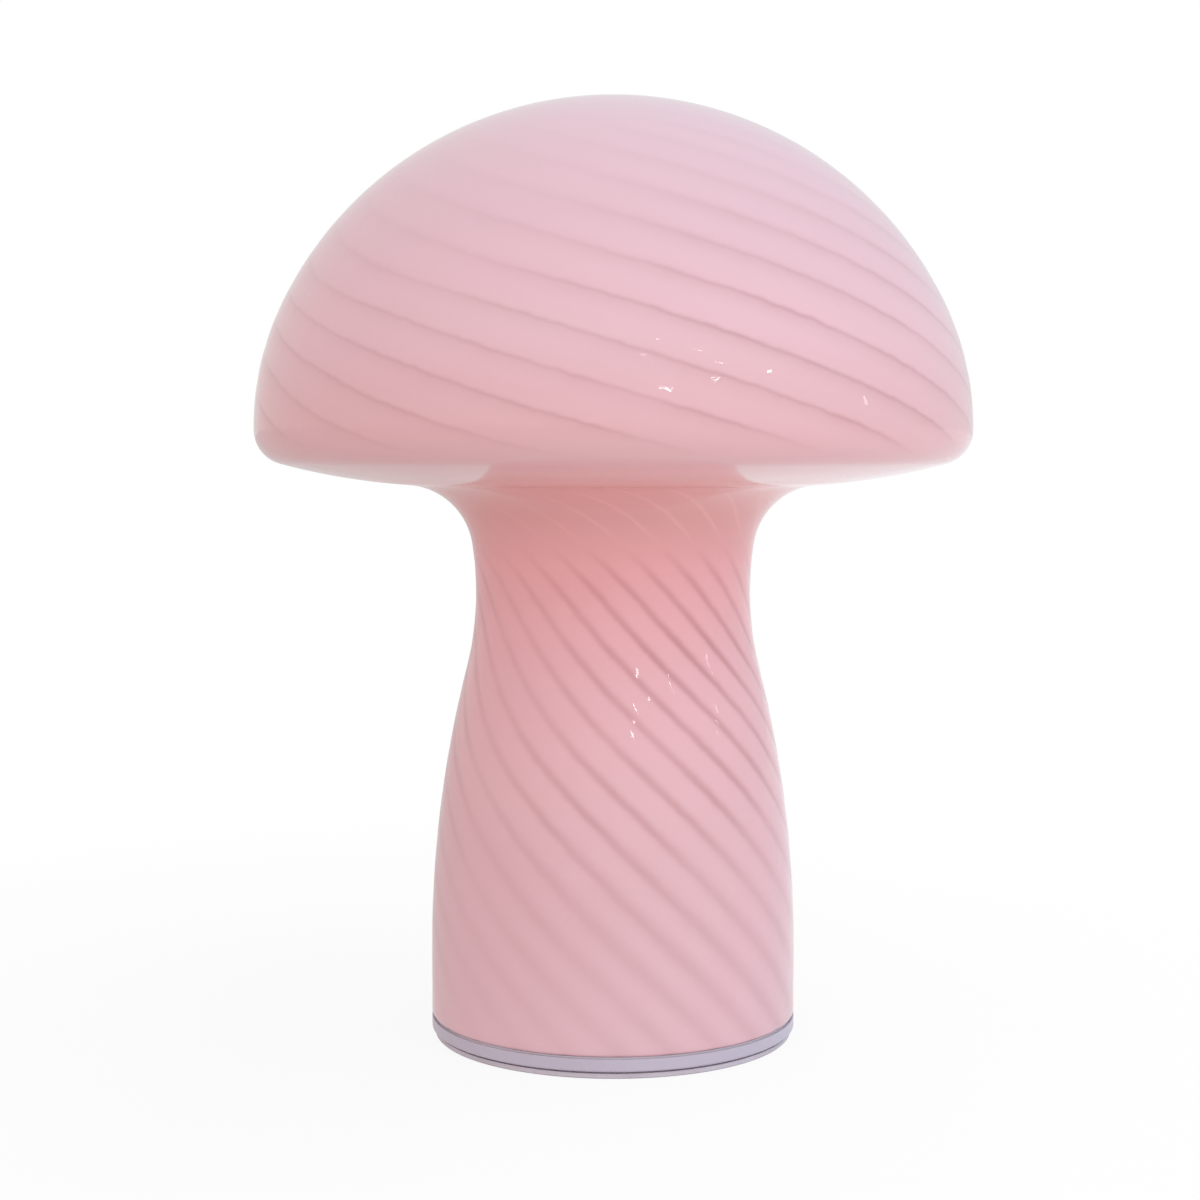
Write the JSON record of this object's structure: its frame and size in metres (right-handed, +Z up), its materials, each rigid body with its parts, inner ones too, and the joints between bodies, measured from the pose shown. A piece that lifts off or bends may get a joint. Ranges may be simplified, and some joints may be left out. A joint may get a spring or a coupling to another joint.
{
  "type": "mushroom table lamp",
  "caption": "Table lamp with a one-piece blown glass mushroom body over a low moulded base that holds a lampholder and a small globe bulb.",
  "frame": {"origin": "middle of the face that the lamp stands on", "axes": "+Z up along the lamp's axis, +Y towards the cord's inlet at the back"},
  "size_m": [0.1748, 0.1748, 0.23],
  "materials": {
    "opal_glass": "cased pink opal glass with a swirl, glossy",
    "base_plastic": "moulded plastic, satin",
    "plate_plastic": "moulded plastic, satin",
    "pad_rubber": "soft ring, matt",
    "seal_silicone": "silicone, translucent",
    "grommet_rubber": "soft moulding, matt",
    "plated_steel": "zinc plated",
    "spring_steel": "stainless spring strip",
    "holder_plastic": "thermoplastic, satin",
    "core_ceramic": "unglazed",
    "contact_brass": "plain brass",
    "cap_nickel": "nickel-plated brass",
    "bulb_clear": "clear glass, gloss",
    "insulator_glass": "black glass",
    "solder": "solder, dull",
    "board_green": "circuit board",
    "filament_phosphor": "yellow phosphor coat"
  },
  "bodies": {
    "base": {"base_housing": "base_plastic", "bottom_cover": "plate_plastic", "foot_pad": "pad_rubber", "cover_screws": "plated_steel", "cord_grommet": "grommet_rubber", "glass_seal": "seal_silicone", "threaded_nipple": "plated_steel", "toothed_washer": "plated_steel", "nipple_nut": "plated_steel", "holder_cap": "holder_plastic", "holder_skirt": "holder_plastic", "holder_core": "core_ceramic", "screw_shell": "contact_brass", "centre_contact": "contact_brass", "contact_rivet": "contact_brass", "shell_contact": "contact_brass", "terminal_blocks": "contact_brass", "terminal_screws": "plated_steel"},
    "glass": {"glass_body": "opal_glass"},
    "bulb": {"bulb_glass": "bulb_clear", "bulb_cap": "cap_nickel", "bulb_insulator": "insulator_glass", "bulb_tip_contact": "solder", "driver_board": "board_green", "bulb_mount": "bulb_clear", "led_filaments": "filament_phosphor", "filament_leads": "plated_steel"},
    "clip_rear": {"clip_rear": "spring_steel"},
    "clip_left": {"clip_left": "spring_steel"},
    "clip_right": {"clip_right": "spring_steel"}
  },
  "joints": [
    {"name": "glass_lift", "type": "slide", "parent": "base", "child": "glass", "axis": [0, 0, 1], "range_m": [0, 0.13]},
    {"name": "bulb_unscrew", "type": "hinge", "parent": "base", "child": "bulb", "pos_m": [0, 0, 0.05], "axis": [0, 0, 1], "range_deg": [0, 1800]},
    {"name": "clip_rear_flex", "type": "hinge", "parent": "base", "child": "clip_rear", "pos_m": [0, 0.03748, 0.0145], "axis": [1, 0, 0], "range_deg": [0, 5], "stiffness_Nm_per_rad": 0.3, "springref_deg": -1.72},
    {"name": "clip_left_flex", "type": "hinge", "parent": "base", "child": "clip_left", "pos_m": [-0.03246, -0.01874, 0.0145], "axis": [-0.5, 0.866, 0], "range_deg": [0, 5], "stiffness_Nm_per_rad": 0.3, "springref_deg": -1.72},
    {"name": "clip_right_flex", "type": "hinge", "parent": "base", "child": "clip_right", "pos_m": [0.03246, -0.01874, 0.0145], "axis": [-0.5, -0.866, 0], "range_deg": [0, 5], "stiffness_Nm_per_rad": 0.3, "springref_deg": -1.72}
  ]
}
